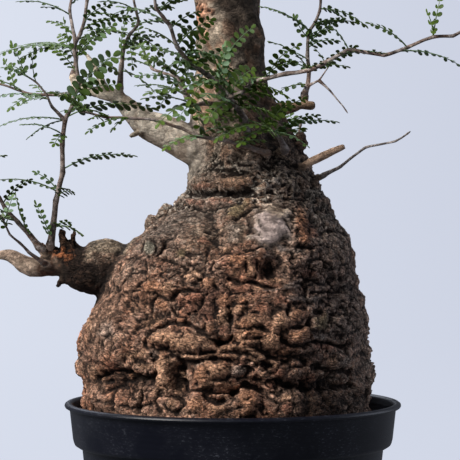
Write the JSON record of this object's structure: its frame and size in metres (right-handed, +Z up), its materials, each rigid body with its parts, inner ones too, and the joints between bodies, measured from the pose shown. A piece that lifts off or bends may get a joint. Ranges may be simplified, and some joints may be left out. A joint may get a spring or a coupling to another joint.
{
  "type": "potted operculicarya",
  "caption": "Potted caudiciform tree with a swollen corky base, pruned limbs and feather-leaved shoots in a round nursery pot.",
  "frame": {"origin": "centre of the pot's underside, on the surface that it stands on", "axes": "+Z up along the pot's axis; the front of the plant faces -Y and its long low branch points to -X"},
  "size_m": [0.3121, 0.2023, 0.5026],
  "materials": {
    "pot_plastic": "moulded, satin, dusty",
    "potting_mix": "loose dry grains",
    "corky_bark": "deeply fissured cork, dry",
    "twig_bark": "fine dry bark",
    "leaf": "waxy leaf, semi-gloss"
  },
  "bodies": {
    "root": {"pot": "pot_plastic", "soil": "potting_mix", "trunk": "corky_bark", "shoot_left_upright": "leaf", "shoot_left_low": "leaf", "shoot_left_thin": "leaf", "shoot_limb_middle": "leaf", "shoot_front_dark": "leaf", "shoot_limb_flat": "leaf", "shoot_limb_back": "leaf", "shoot_front_long": "leaf", "shoot_front_left": "leaf", "shoot_right_long": "leaf", "shoot_right_upright": "leaf", "shoot_right_bare": "twig_bark", "shoot_front_grey": "leaf", "shoot_back_left": "leaf", "shoot_back_right": "leaf", "shoot_back_low": "leaf", "shoot_top_left": "leaf", "shoot_top_front": "leaf", "shoot_top_right": "leaf", "shoot_top_back": "leaf"}
  },
  "joints": []
}
